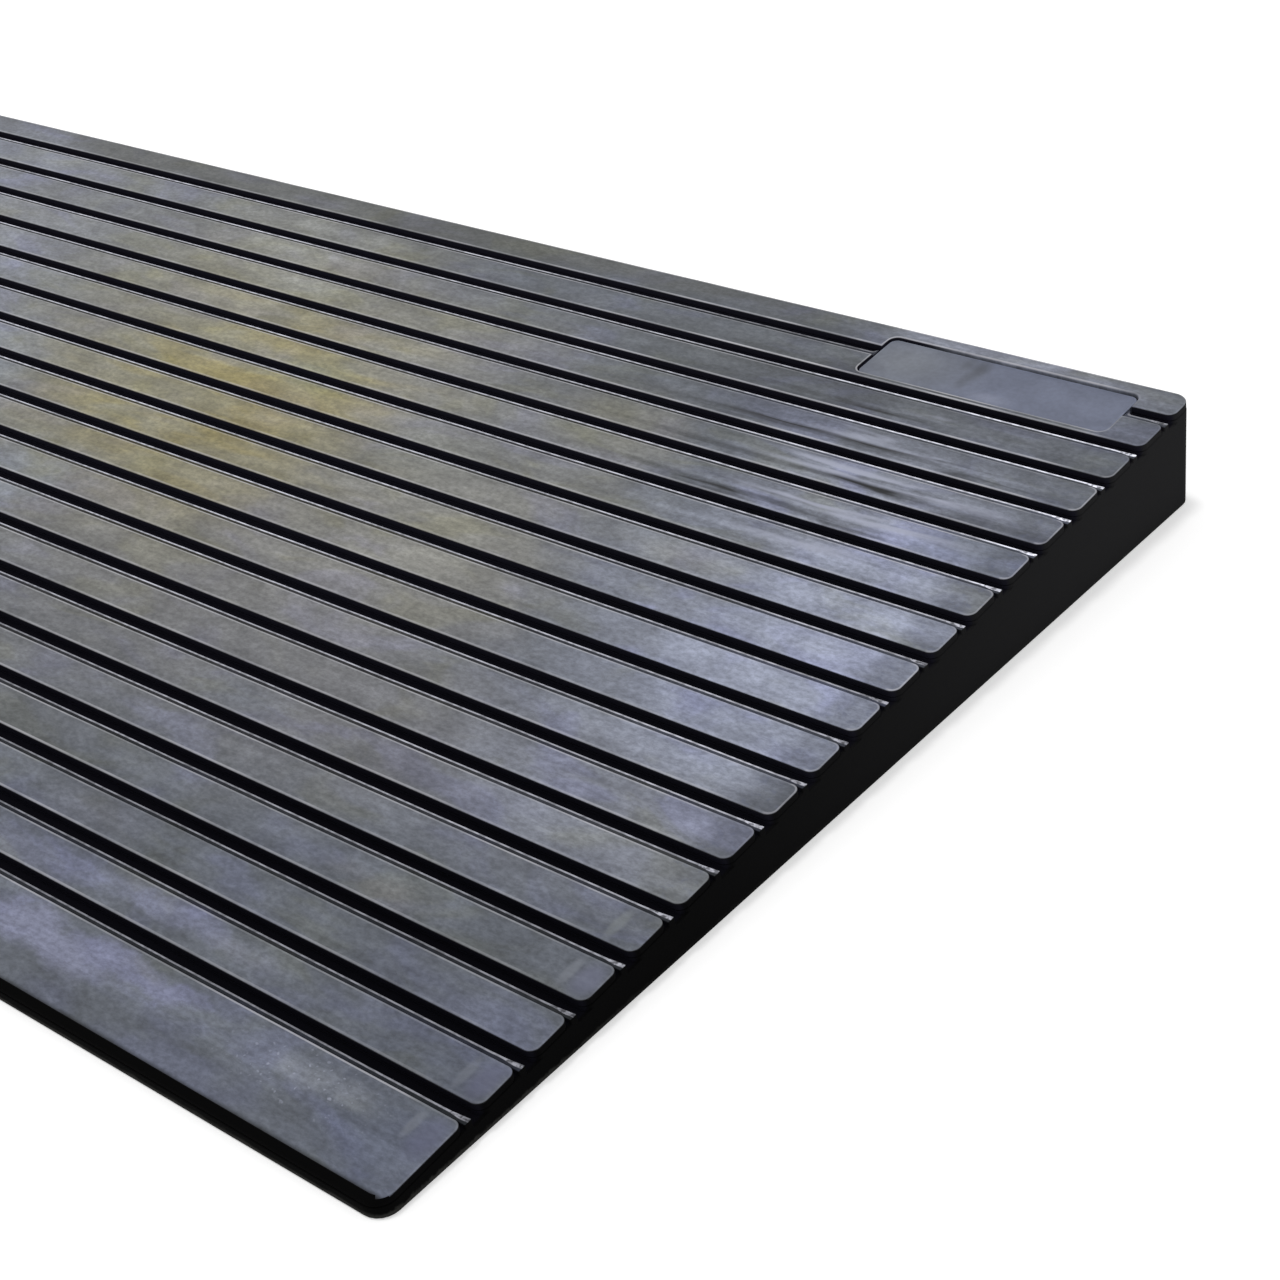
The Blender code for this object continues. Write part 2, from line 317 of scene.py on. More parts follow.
def patch_mask(tree, place, patch):
    """The patch's strength inside its oval, fading out towards its rim."""
    offset = vector_maths(tree, "SUBTRACT", place, (patch.x, patch.y, 0.0))
    scaled = vector_maths(tree, "MULTIPLY", offset, (1 / patch.reach_x, 1 / patch.reach_y, 0.0))
    distance = add_node(tree, "ShaderNodeVectorMath", {0: scaled}, operation="LENGTH").outputs["Value"]
    return smooth_step(tree, distance, 1.0 - patch.fade, 1.0, patch.strength, 0.0)


def patched_colour(tree, place, colour, patches):
    """The colour with the colours of patches laid over it."""
    for patch in patches:
        colour = mix_colours(tree, patch_mask(tree, place, patch), colour, patch.value)
    return colour


def patched_value(tree, place, value, patches):
    """The number with the numbers of patches laid over it."""
    for patch in patches:
        value = mix_values(tree, patch_mask(tree, place, patch), value, patch.value)
    return value


def split_place(tree, place):
    """The sides of a place, by their letters."""
    return add_node(tree, "ShaderNodeSeparateXYZ", {"Vector": place}).outputs


def world_place(tree):
    """The place in the ramp's own frame, which stands on the floor."""
    return add_node(tree, "ShaderNodeTexCoord", {}).outputs["Object"]


def facing_up(tree):
    """How squarely a surface faces up from the tread: one on a top, zero on a wall, minus one underneath."""
    normal = add_node(tree, "ShaderNodeNewGeometry", {}).outputs["Normal"]
    up = tuple(TREAD.to_3x3() @ Vector((0.0, 0.0, 1.0)))
    made = add_node(tree, "ShaderNodeVectorMath", {0: normal, 1: up}, operation="DOT_PRODUCT")
    return made.outputs["Value"]


def flat_top(tree):
    """One on a flat top, fading to zero over its rounded edges."""
    return smooth_step(tree, facing_up(tree), *TOP_STEP)


def highlight_rim(tree):
    """The rim that the meshes carry along their edges, from zero to one, which places the painted highlights.
    """
    return add_node(tree, "ShaderNodeAttribute", {}, attribute_name="rim").outputs["Fac"]


def rubber_material(name, specular):
    """New material with its nodes and the place on the tread."""
    made = bpy.data.materials.new(name)
    made.use_nodes = True
    tree = made.node_tree
    tree.nodes["Principled BSDF"].inputs["Specular IOR Level"].default_value = specular
    place = add_node(tree, "ShaderNodeMapping", {
        "Vector": world_place(tree), "Location": TREAD.to_translation(), "Rotation": TREAD.to_euler(),
    }, vector_type="TEXTURE").outputs["Vector"]
    return made, tree, place


def join_rubber(tree, colour, roughness, grain, relief):
    """Connect a rubber's colour, roughness and fine relief to its shader."""
    shader = tree.nodes["Principled BSDF"]
    bump = add_node(tree, "ShaderNodeBump", {"Strength": 1.0, "Distance": relief, "Height": grain})
    tree.links.new(colour, shader.inputs["Base Color"])
    tree.links.new(roughness, shader.inputs["Roughness"])
    tree.links.new(bump.outputs["Normal"], shader.inputs["Normal"])


# Cloudy patches in the bloom, whose rims are made ragged. They are partly dust and partly painted sheen,
# which stands in for reflected sky light
CLOUD_AND_SHEEN_PATCHES = (
    Patch(0.120, 0.230, 0.260, 0.170, 0.75, 1.0, (0.216, 0.213, 0.209)),
    Patch(0.270, 0.175, 0.130, 0.075, 0.45, 1.0, (0.203, 0.199, 0.204)),
    Patch(-0.260, 0.410, 0.300, 0.240, 0.80, 1.0, (0.220, 0.228, 0.240)),
    Patch(-0.050, 0.430, 0.170, 0.110, 0.75, 1.0, (0.265, 0.258, 0.195)),
    Patch(0.000, 0.330, 0.220, 0.170, 0.90, 1.0, (0.278, 0.262, 0.178)),
    Patch(0.065, 0.325, 0.080, 0.110, 0.40, 0.5, (0.300, 0.270, 0.150)),
    Patch(0.110, 0.400, 0.120, 0.090, 0.75, 1.0, (0.275, 0.275, 0.265)),
    Patch(0.215, 0.290, 0.110, 0.110, 0.70, 1.0, (0.305, 0.299, 0.262)),
    Patch(0.380, 0.325, 0.135, 0.190, 0.85, 0.9, (0.270, 0.290, 0.360)),
    Patch(0.405, 0.290, 0.075, 0.110, 0.60, 0.4, (0.330, 0.360, 0.470)),
    Patch(0.270, 0.465, 0.240, 0.042, 0.80, 1.0, (0.120, 0.130, 0.138)),
    Patch(-0.080, 0.512, 0.480, 0.024, 0.90, 0.6, (0.098, 0.102, 0.101)),
    Patch(0.370, 0.512, 0.120, 0.026, 0.85, 1.0, (0.260, 0.275, 0.340)),
    Patch(0.390, 0.180, 0.140, 0.070, 0.75, 1.0, (0.234, 0.248, 0.298)),
    Patch(0.355, 0.110, 0.036, 0.012, 0.30, 1.0, (0.172, 0.158, 0.168)),
    Patch(-0.040, 0.222, 0.070, 0.050, 0.80, 1.0, (0.270, 0.300, 0.370)),
    Patch(-0.150, 0.295, 0.070, 0.060, 0.75, 1.0, (0.260, 0.290, 0.350)),
    Patch(-0.350, 0.470, 0.110, 0.070, 0.75, 1.0, (0.250, 0.270, 0.340)),
    Patch(-0.240, 0.370, 0.070, 0.070, 0.60, 1.0, (0.240, 0.260, 0.320)),
    Patch(-0.060, 0.465, 0.065, 0.050, 0.60, 1.0, (0.280, 0.290, 0.290)),
    Patch(0.225, 0.390, 0.060, 0.050, 0.60, 1.0, (0.255, 0.248, 0.205)),
    Patch(0.430, 0.378, 0.040, 0.022, 0.90, 0.7, (0.160, 0.178, 0.225)),
    Patch(0.310, 0.457, 0.160, 0.024, 0.75, 1.0, (0.084, 0.092, 0.110)),
    Patch(0.245, 0.245, 0.070, 0.022, 0.45, 1.0, (0.262, 0.262, 0.276)),
    Patch(0.425, 0.030, 0.045, 0.075, 0.90, 0.9, (0.100, 0.113, 0.155)),
    Patch(0.210, 0.052, 0.060, 0.012, 0.75, 0.8, (0.195, 0.210, 0.290)),
    Patch(0.290, 0.060, 0.070, 0.009, 0.70, 0.7, (0.178, 0.190, 0.275)),
    Patch(0.235, 0.024, 0.085, 0.012, 0.70, 0.7, (0.200, 0.210, 0.305)),
    Patch(0.290, 0.031, 0.042, 0.008, 0.75, 0.6, (0.180, 0.190, 0.290)),
    Patch(0.389, 0.028, 0.032, 0.010, 0.65, 0.8, (0.210, 0.226, 0.262)),
)
# Softer clouds, which keep their shape, also partly dust and partly painted sheen
SOFT_CLOUD_AND_SHEEN_PATCHES = (
    Patch(0.052, 0.362, 0.045, 0.024, 0.60, 1.0, (0.300, 0.328, 0.288)),
    Patch(-0.020, 0.428, 0.065, 0.018, 0.60, 1.0, (0.318, 0.328, 0.320)),
    Patch(0.155, 0.335, 0.050, 0.030, 0.60, 1.0, (0.272, 0.280, 0.260)),
    Patch(0.212, 0.377, 0.045, 0.018, 0.60, 1.0, (0.160, 0.162, 0.112)),
    Patch(0.318, 0.322, 0.045, 0.018, 0.60, 1.0, (0.215, 0.217, 0.190)),
    Patch(0.212, 0.163, 0.045, 0.018, 0.60, 1.0, (0.114, 0.126, 0.156)),
    Patch(0.212, 0.084, 0.045, 0.018, 0.60, 1.0, (0.176, 0.185, 0.230)),
)
# Marks near the right ends of the first strips, which keep their shape
END_MARKS = (
    Patch(0.4435, 0.0300, 0.0080, 0.0125, 0.55, 0.7, (0.105, 0.111, 0.175)),
    Patch(0.4440, 0.0571, 0.0080, 0.0115, 0.60, 0.7, (0.115, 0.121, 0.195)),
    Patch(0.4440, 0.1100, 0.0080, 0.0115, 0.55, 0.7, (0.150, 0.158, 0.235)),
    Patch(0.4355, 0.0318, 0.0028, 0.0085, 0.50, 0.6, (0.180, 0.195, 0.230)),
    Patch(0.4358, 0.0571, 0.0028, 0.0105, 0.45, 0.6, (0.180, 0.195, 0.235)),
    Patch(0.4358, 0.1100, 0.0028, 0.0105, 0.45, 0.6, (0.215, 0.230, 0.265)),
    Patch(0.4358, 0.1365, 0.0032, 0.0105, 0.45, 0.6, (0.225, 0.245, 0.250)),
)
# The noise that makes the rims of the cloudy patches ragged
SWIRLS = {"Scale": 18.0, "Detail": 5.0, "Roughness": 0.6}
# How far these rims stray, and how far the patches shift from strip to strip
DRIFT = (0.10, 0.04, 0.0)
STRIP_SHIFT = (0.018, 0.0, 0.0)

# How strongly the edges carry a painted highlight, by place
NEAR_HIGHLIGHTS = (
    Patch(0.120, 0.080, 0.220, 0.110, 1.0, 1.0, 0.95),
    Patch(0.400, 0.070, 0.110, 0.150, 1.0, 1.0, 0.30),
    Patch(0.350, 0.280, 0.180, 0.080, 1.0, 1.0, 0.05),
    Patch(0.300, 0.470, 0.280, 0.110, 1.0, 1.0, 1.60),
)
FAR_HIGHLIGHTS = (
    Patch(0.300, 0.090, 0.260, 0.060, 1.0, 1.0, 0.30),
    Patch(0.400, 0.280, 0.100, 0.090, 1.0, 1.0, 0.30),
    Patch(0.350, 0.450, 0.200, 0.050, 1.0, 1.0, 0.10),
)
# Where the tips of the strips carry a painted highlight
TIP_HIGHLIGHTS = Patch(0.450, 0.330, 0.100, 0.170, 0.9, 0.5)
# How light the painted highlight along the lips of the ledges is, by place
LIP_HIGHLIGHTS = (
    Patch(-0.170, 0.400, 0.300, 0.230, 1.0, 0.8, 0.58),
    Patch(0.150, 0.440, 0.250, 0.120, 1.0, 0.8, 0.48),
    Patch(0.350, 0.280, 0.160, 0.100, 1.0, 0.8, 0.42),
    Patch(0.390, 0.440, 0.180, 0.100, 1.0, 0.8, 0.78),
    Patch(0.448, 0.390, 0.034, 0.070, 1.0, 0.8, 1.00),
    Patch(0.350, 0.493, 0.250, 0.014, 1.0, 0.5, 0.22),
)
# How light the ledges are beside the strips, as a share of the bloom's colour, by place
LEDGE_FEET = (Patch(0.390, 0.440, 0.200, 0.110, 1.0, 0.8, 0.60),)
# How dark the painted shade in the hollows beside the edges is, by place
HOLLOW_SHADES = (
    Patch(0.330, 0.440, 0.200, 0.130, 1.0, 0.8, 0.25),
    Patch(-0.220, 0.300, 0.260, 0.260, 1.0, 1.0, 0.0),
)
# How dark the painted shade in the troughs that wander along the near halves of the strips is, by place
TROUGH_SHADES = (
    Patch(0.270, 0.405, 0.170, 0.110, 1.0, 0.8, 0.26),
    Patch(0.320, 0.405, 0.100, 0.065, 1.0, 0.5, 0.60),
)
# How much darker the bloom is in the last stretch before the ends of the strips, by place
ENDS = (Patch(0.450, 0.290, 0.110, 0.200, 1.0, 0.6, 0.28),)
# Where yellow stains, the painted shade and sheen of the waves, the flowing painted sheen and pale specks
# show
YELLOWED = Patch(0.020, 0.335, 0.180, 0.140, 1.0, 0.9)
WAVES = Patch(0.345, 0.405, 0.115, 0.090, 1.0, 0.6)
SHEEN_FLOWS = Patch(0.362, 0.400, 0.080, 0.080, 1.0, 0.6)
PALE_SPECKS = Patch(0.388, 0.026, 0.055, 0.018, 1.0, 0.8)

# Smudges on the plate
PLATE_PATCHES = (
    Patch(0.315, 0.492, 0.055, 0.040, 0.80, 1.0, (0.170, 0.183, 0.205)),
    Patch(0.3515, 0.499, 0.0065, 0.012, 0.80, 0.9, (0.085, 0.092, 0.112)),
    Patch(0.3440, 0.501, 0.0050, 0.009, 0.60, 0.9, (0.100, 0.108, 0.130)),
    Patch(0.3495, 0.489, 0.0050, 0.012, 0.70, 0.9, (0.105, 0.114, 0.142)),
    Patch(0.368, 0.480, 0.016, 0.006, 0.70, 0.9, (0.210, 0.228, 0.300)),
)


# Smooth steps say where they start and end, and what they give there, if not zero and one
# Noises that the finishes are made of
STAINS_AND_SHEEN = Pattern((16.0, 34.0, 1.0), 3.0, 0.5, 0.8)
YELLOWING = Pattern((12.0, 45.0, 1.0), 3.0, 0.5, 0.4, (0.42, 0.62))
CLOUDS = Pattern((34.0, 60.0, 1.0), 5.0, 0.65, 0.6, (0.30, 0.70, 0.83, 1.17))
STREAKS = Pattern((8.0, 240.0, 1.0), 3.0, 0.5, 0.0, (0.30, 0.70, 0.93, 1.07))
MOTTLES = Pattern((75.0, 165.0, 1.0), 3.0, 0.6, 0.5, (0.30, 0.70, 0.90, 1.10))
GRAINS = Pattern((290.0, 470.0, 1.0), 3.0, 0.7, 0.0, (0.30, 0.70, 0.81, 1.19))
STRIP_TONES = Pattern((11.0, 3.7, 1.0), 2.0, 0.5, 0.0, (0.30, 0.70, 0.90, 1.10))
TROUGH_SWINGS = Pattern((14.0, 40.0, 1.0))
WAVE_LINES = Pattern((12.0, 120.0, 1.0), 1.5, 0.5, 0.30)
SHEEN_FLOW_LINES = Pattern((13.0, 105.0, 1.0), 3.0, 0.5, 0.6, (0.46, 0.64, 0.0, 0.85))
PITS = Pattern((240.0, 300.0, 1.0), 2.0, 0.5, 0.0, (0.46, 0.34))
SPECKS = Pattern((420.0, 420.0, 1.0), 1.0, 0.5, 0.0, (0.64, 0.74, 0.0, 0.5))
RIM_HIGHLIGHT_SWINGS = Pattern((24.0, 40.0, 1.0), 3.0, 0.5, 0.0, (0.35, 0.65, 0.5, 1.4))
LIP_HIGHLIGHT_SWINGS = Pattern((12.0, 12.0, 1.0), 3.0, 0.5, 0.0, (0.30, 0.70, 0.75, 1.25))
LIP_HIGHLIGHT_BREAKS = Pattern((260.0, 500.0, 1.0), 2.0, 0.5, 0.0, (0.35, 0.60, 0.65, 1.15))
TIP_HIGHLIGHT_BREAKS = Pattern((480.0, 620.0, 1.0), 2.0, 0.5, 0.0, (0.42, 0.54, 0.40, 1.15))
DUST_LINE = Pattern((60.0, 260.0, 260.0), 4.0, 0.7)
SMUDGES = Pattern((55.0, 70.0, 1.0), 4.0, 0.5, 0.6, (0.30, 0.70, 0.88, 1.10))
PLATE_GRAINS = Pattern((400.0, 400.0, 1.0), 2.0, 0.5, 0.0, (0.30, 0.70, 0.95, 1.05))
TREAD_GRAIN = Pattern((900.0, 900.0, 900.0), 3.0)
BASE_GRAIN = Pattern((500.0, 500.0, 500.0), 4.0, 0.6)
PLATE_GRAIN = Pattern((900.0, 900.0, 900.0))
# Steps in the noise of the stains and of the lavender painted sheen
LAVENDER_SHEEN_STEP = (0.50, 0.66)
SAND_STEP = (0.46, 0.32)
# Steps in how squarely a surface faces up
TOP_STEP = (0.55, 0.97)
# Painted shade: groove floors darker than the groove walls
GROOVE_FLOOR_SHADE = (0.30, 0.90, 1.7, 0.75)
ABOVE_UNDERSIDE = (-0.8, -0.4)
# Steps in the rim, which carries the painted highlights
RIM_STEP = (0.3, 1.0)
PLATE_RIM_HIGHLIGHT = (*RIM_STEP, 1.0, 1.15)
LIP_STEP = (0.62, 0.80)
# Steps across a strip, as shares of the pitch from its downhill edge
FAR_HALF = (0.30, 0.40)
WAVE_EBB = (0.30, 0.50, 1.0, 0.35)
# Steps up the slope
NOSE_BLOOM = (0.0024, 0.0052)
NOSE_HIGHLIGHT = (0.006, 0.010)
GROOVES_START = (0.004, 0.010)
LEDGES_START = (0.030, 0.038)
HOLLOWS_START = (0.040, 0.045)
LIP_HIGHLIGHT_TONE = (0.040, 0.300, 0.24, 0.56)
# Painted shade: the outer walls darker towards the front and lighter towards the back, and the grooves darker
# towards the front
WALL_SHADE = (0.12, 0.50, 0.30, 3.1)
GROOVE_SHADE = (0.100, 0.300, 0.55, 1.0)
DUST_EBB = (0.060, 0.150, 0.9, 0.12)
# Steps to the right, or away from the middle
# Painted shade: the grooves darker to the right
GROOVE_RIGHT_SHADE = (0.150, 0.400, 1.0, 0.70)
HIGHLIGHT_EBB = (0.420, 0.434, 1.0, 0.2)
END_STEP = (0.426, 0.438)
TIP_HIGHLIGHT_BREAKS_START = (0.438, 0.443)
LIP_WIDENING = (0.440, 0.447, 0.0, 0.30)
TIP_STEP = (0.4442, 0.4466)
SIDE_WALL = (0.4480, 0.4497, 1.0, 0.0)
# Steps in height, and towards the back wall
POCKET_FOOT = (-0.0035, -0.0028, 0.0, 0.9)
LEDGE_FOOT = (-0.0024, -0.0014)
DUST_TOP = (-0.0010, 0.0006, 1.0, 0.0)
BACK_WALL = (0.2560, 0.2567, 1.0, 0.0)

# Bands: start, full, ebb and end, as shares of the pitch, as noise or in metres
NEAR_HOLLOW = (0.03, 0.10, 0.13, 0.30)
FAR_HOLLOW = (0.48, 0.66, 0.69, 0.70)
TROUGH_BAND = (0.12, 0.19, 0.25, 0.34)
SHEEN_FLOW_BAND = (0.24, 0.38, 0.52, 0.68)
WAVE_SHADE = (0.38, 0.43, 0.45, 0.50)
WAVE_SHEEN = (0.51, 0.55, 0.62, 0.70)
POCKET_ACROSS = (0.314, 0.345, 0.4290, 0.4298)
POCKET_UP = (0.4860, 0.4870, 0.5100, 0.5104)

# How strong the painted shade, painted highlights and other marks are where no patch says otherwise, and how
# strong they are beside each other
HOLLOW_DEPTH = 0.13
FAR_HOLLOW_SHARE = 0.6
TROUGH_SWAY = 0.14
WAVE_SHADE_DEPTH = 0.36
WAVE_SHEEN_DEPTH = 0.24
NEAR_HIGHLIGHT = 0.70
FAR_HIGHLIGHT = 1.00
HIGHLIGHT_COVER = 0.34
PIT_COVER = 1.2
LEDGE_BLOOM = 0.20
DUST_RAGGEDNESS = 0.0040

# Gloss and fine relief
WORN_SPECULAR = 0.18
MATT_SPECULAR = 0.02
ROUGHNESS_SPREAD = 0.05
TREAD_RELIEF = 0.00004
BASE_RELIEF = 0.00008
PLATE_RELIEF = 0.00002


def pitches_up(tree, place):
    """How many pitches a place lies above the front edge of the second strip."""
    return maths(tree, "DIVIDE", maths(tree, "SUBTRACT", split_place(tree, place)["Y"], FIRST_START), PITCH)


def strayed_place(tree, place, strip):
    """The place, moved by noise and from strip to strip, so that patches get ragged rims."""
    swirl = add_node(tree, "ShaderNodeTexNoise", {"Vector": place, **SWIRLS})
    jump = add_node(tree, "ShaderNodeTexWhiteNoise", {"W": strip}, noise_dimensions="1D")
    for moved, reach in ((swirl, DRIFT), (jump, STRIP_SHIFT)):
        push = vector_maths(tree, "SUBTRACT", moved.outputs["Color"], (0.5, 0.5, 0.5))
        place = vector_maths(tree, "MULTIPLY_ADD", push, reach, place)
    return place


def bloom_and_sheen_finish(tree, place, bloom):
    """Colour of the dusty bloom with its clouds, stains and grains, and with the painted sheen of reflected
    sky light in its patches and lavender tint.
    """
    strip = maths(tree, "FLOOR", pitches_up(tree, place))
    colour = patched_colour(tree, strayed_place(tree, place, strip), bloom, CLOUD_AND_SHEEN_PATCHES)
    colour = patched_colour(tree, place, colour, SOFT_CLOUD_AND_SHEEN_PATCHES)
    stains_and_sheen = stretched_noise(tree, place, STAINS_AND_SHEEN)
    yellowed = product(tree, stretched_noise(tree, place, YELLOWING), patch_mask(tree, place, YELLOWED))
    for tint, cover in ((LAVENDER_SHEEN, smooth_step(tree, stains_and_sheen, *LAVENDER_SHEEN_STEP)),
                        (SAND, smooth_step(tree, stains_and_sheen, *SAND_STEP)),
                        (GOLD, yellowed)):
        colour = mix_colours(tree, cover, colour, vector_maths(tree, "MULTIPLY", colour, tint))
    own_place = add_node(tree, "ShaderNodeCombineXYZ", {"X": split_place(tree, place)["X"], "Y": strip})
    tones = [stretched_noise(tree, place, pattern) for pattern in (CLOUDS, STREAKS, MOTTLES, GRAINS)]
    tones.append(stretched_noise(tree, own_place.outputs["Vector"], STRIP_TONES))
    return scale_colour(tree, colour, product(tree, *tones))


def pocket_wall_light(tree, sides):
    """How far the walls of the plate's pocket are painted as light as the bloom, which hides their shade,
    except near its left end, where they stay black.
    """
    return product(tree, band(tree, sides["X"], *POCKET_ACROSS), band(tree, sides["Y"], *POCKET_UP),
                   smooth_step(tree, sides["Z"], *POCKET_FOOT))


def painted_shade_and_sheen(tree, place, phase, sides):
    """How much darker the painted shade in the hollows, troughs and waves makes the bloom of a strip, less
    the painted sheen on the waves' light lines.
    """
    hollow_shade = product(
        tree, patched_value(tree, place, HOLLOW_DEPTH, HOLLOW_SHADES),
        maths(tree, "ADD", band(tree, phase, *NEAR_HOLLOW),
              product(tree, band(tree, phase, *FAR_HOLLOW), FAR_HOLLOW_SHARE)),
        smooth_step(tree, sides["Y"], *HOLLOWS_START))
    swing = maths(tree, "SUBTRACT", stretched_noise(tree, place, TROUGH_SWINGS), 0.5)
    trough_shade = product(tree, patched_value(tree, place, 0.0, TROUGH_SHADES),
                     band(tree, maths(tree, "MULTIPLY_ADD", swing, TROUGH_SWAY, phase), *TROUGH_BAND))
    lines = stretched_noise(tree, place, WAVE_LINES)
    waves = product(
        tree, maths(tree, "SUBTRACT", product(tree, band(tree, lines, *WAVE_SHADE), WAVE_SHADE_DEPTH),
                    product(tree, band(tree, lines, *WAVE_SHEEN), WAVE_SHEEN_DEPTH)),
        patch_mask(tree, place, WAVES), smooth_step(tree, phase, *WAVE_EBB))
    return maths(tree, "ADD", maths(tree, "MAXIMUM", hollow_shade, trough_shade), waves)


def edge_highlights(tree, place, phase, across, sides):
    """How strongly the edges of a strip are painted light as a highlight."""
    near = patched_value(tree, place, NEAR_HIGHLIGHT, NEAR_HIGHLIGHTS)
    far = patched_value(tree, place, FAR_HIGHLIGHT, FAR_HIGHLIGHTS)
    edge_highlight = product(tree, mix_values(tree, smooth_step(tree, phase, *FAR_HALF), near, far),
                     smooth_step(tree, across, *HIGHLIGHT_EBB))
    tips = product(tree, patch_mask(tree, place, TIP_HIGHLIGHTS), smooth_step(tree, across, *TIP_STEP))
    return product(tree, maths(tree, "MAXIMUM", tips, edge_highlight), smooth_step(tree, highlight_rim(tree), *RIM_STEP),
                   stretched_noise(tree, place, RIM_HIGHLIGHT_SWINGS), smooth_step(tree, sides["Y"], *NOSE_HIGHLIGHT))


def pale_specks_and_sheen(tree, place, phase):
    """How strongly pale specks and the flowing painted sheen show on a strip."""
    specks = product(tree, stretched_noise(tree, place, SPECKS), patch_mask(tree, place, PALE_SPECKS))
    sheen_flows = product(tree, stretched_noise(tree, place, SHEEN_FLOW_LINES), patch_mask(tree, place, SHEEN_FLOWS),
                    band(tree, phase, *SHEEN_FLOW_BAND))
    return maths(tree, "MAXIMUM", specks, sheen_flows)


def tread_finish(tread, base):
    """Black rubber with a dry grey bloom on its tops that thins out over the rounded edges, and painted
    shade, sheen and highlights laid over the bloom.
    """
    made, tree, place = rubber_material("tread rubber", WORN_SPECULAR)
    phase = maths(tree, "FRACT", pitches_up(tree, place))
    sides = split_place(tree, place)
    across = maths(tree, "ABSOLUTE", sides["X"])
    end = product(tree, patched_value(tree, place, 0.0, ENDS), smooth_step(tree, across, *END_STEP))
    # Painted shade of the hollows, troughs and waves, with the darker last stretch before the ends
    dark = maths(tree, "ADD", painted_shade_and_sheen(tree, place, phase, sides), end)
    pits = product(tree, stretched_noise(tree, place, PITS), end, PIT_COVER)
    # Painted highlight along the edges and tips of the strips
    edge_highlight = product(tree, edge_highlights(tree, place, phase, across, sides), HIGHLIGHT_COVER)

    bloom = patched_colour(tree, place, bloom_and_sheen_finish(tree, place, tuple(tread.bloom)), END_MARKS)
    bloom = scale_colour(tree, bloom, maths(tree, "SUBTRACT", 1.0, dark))
    bloom = mix_colours(tree, pits, bloom, PITTED)
    bloom = mix_colours(tree, edge_highlight, bloom, HIGHLIGHT_COLOUR)
    bloom = scale_colour(tree, bloom, smooth_step(tree, sides["Y"], *NOSE_BLOOM))
    bloom = mix_colours(tree, pale_specks_and_sheen(tree, place, phase), bloom, PALE_SPECK_AND_SHEEN)

    # The walls of the plate's pocket take the bloom as painted light
    top = maths(tree, "MAXIMUM", flat_top(tree), pocket_wall_light(tree, sides))
    colour = mix_colours(tree, top, tuple(base.rubber), bloom)
    worn = (*STREAKS.step[:2], tread.roughness - ROUGHNESS_SPREAD, tread.roughness + ROUGHNESS_SPREAD)
    worn_streaks = stretched_noise(tree, place, STREAKS._replace(step=worn))
    roughness = mix_values(tree, top, base.roughness, worn_streaks)
    join_rubber(tree, colour, roughness, stretched_noise(tree, place, TREAD_GRAIN), TREAD_RELIEF)
    return made


def ledge_colour(tree, place, bloom, across, sides):
    """Colour of the ledges, with a painted highlight along their lips and a dimmed share of the bloom beside
    the strips.
    """
    # Painted highlight along the lips, lighter up the slope and broken up by noise
    light = product(
        tree, patched_value(tree, place, smooth_step(tree, sides["Y"], *LIP_HIGHLIGHT_TONE), LIP_HIGHLIGHTS),
        stretched_noise(tree, place, LIP_HIGHLIGHT_SWINGS), stretched_noise(tree, place, LIP_HIGHLIGHT_BREAKS),
        mix_values(tree, smooth_step(tree, across, *TIP_HIGHLIGHT_BREAKS_START), 1.0, stretched_noise(tree, place, TIP_HIGHLIGHT_BREAKS)))
    lip = maths(tree, "ADD", highlight_rim(tree), smooth_step(tree, across, *LIP_WIDENING))
    foot = scale_colour(tree, bloom, patched_value(tree, place, LEDGE_BLOOM, LEDGE_FEET))
    return mix_colours(tree, smooth_step(tree, lip, *LIP_STEP), foot, scale_colour(tree, LIP_HIGHLIGHT_COLOUR, light))


def wall_colour(tree, place, bloom, across, sides, base):
    """Colour of the outer walls, the grooves and the plate's pocket, with painted shade: the walls darker
    towards the front, the grooves darker on their floors, towards the front and to the right.
    """
    world = split_place(tree, world_place(tree))
    wall = scale_colour(tree, tuple(base.rubber), smooth_step(tree, sides["Y"], *WALL_SHADE))
    inside = product(
        tree, smooth_step(tree, across, *SIDE_WALL), smooth_step(tree, sides["Y"], *GROOVES_START),
        smooth_step(tree, world["Y"], *BACK_WALL), smooth_step(tree, facing_up(tree), *ABOVE_UNDERSIDE))
    groove = scale_colour(tree, tuple(base.groove), product(
        tree, smooth_step(tree, facing_up(tree), *GROOVE_FLOOR_SHADE),
        smooth_step(tree, sides["Y"], *GROOVE_SHADE), smooth_step(tree, sides["X"], *GROOVE_RIGHT_SHADE)))
    wall = mix_colours(tree, inside, wall, groove)
    # Painted light on the walls of the plate's pocket
    wall = mix_colours(tree, pocket_wall_light(tree, sides), wall, bloom)
    ragged = product(tree, stretched_noise(tree, place, DUST_LINE), DUST_RAGGEDNESS)
    dusty = product(tree, smooth_step(tree, maths(tree, "SUBTRACT", world["Z"], ragged), *DUST_TOP),
                    smooth_step(tree, sides["Y"], *DUST_EBB))
    return mix_colours(tree, dusty, wall, tuple(base.dust))


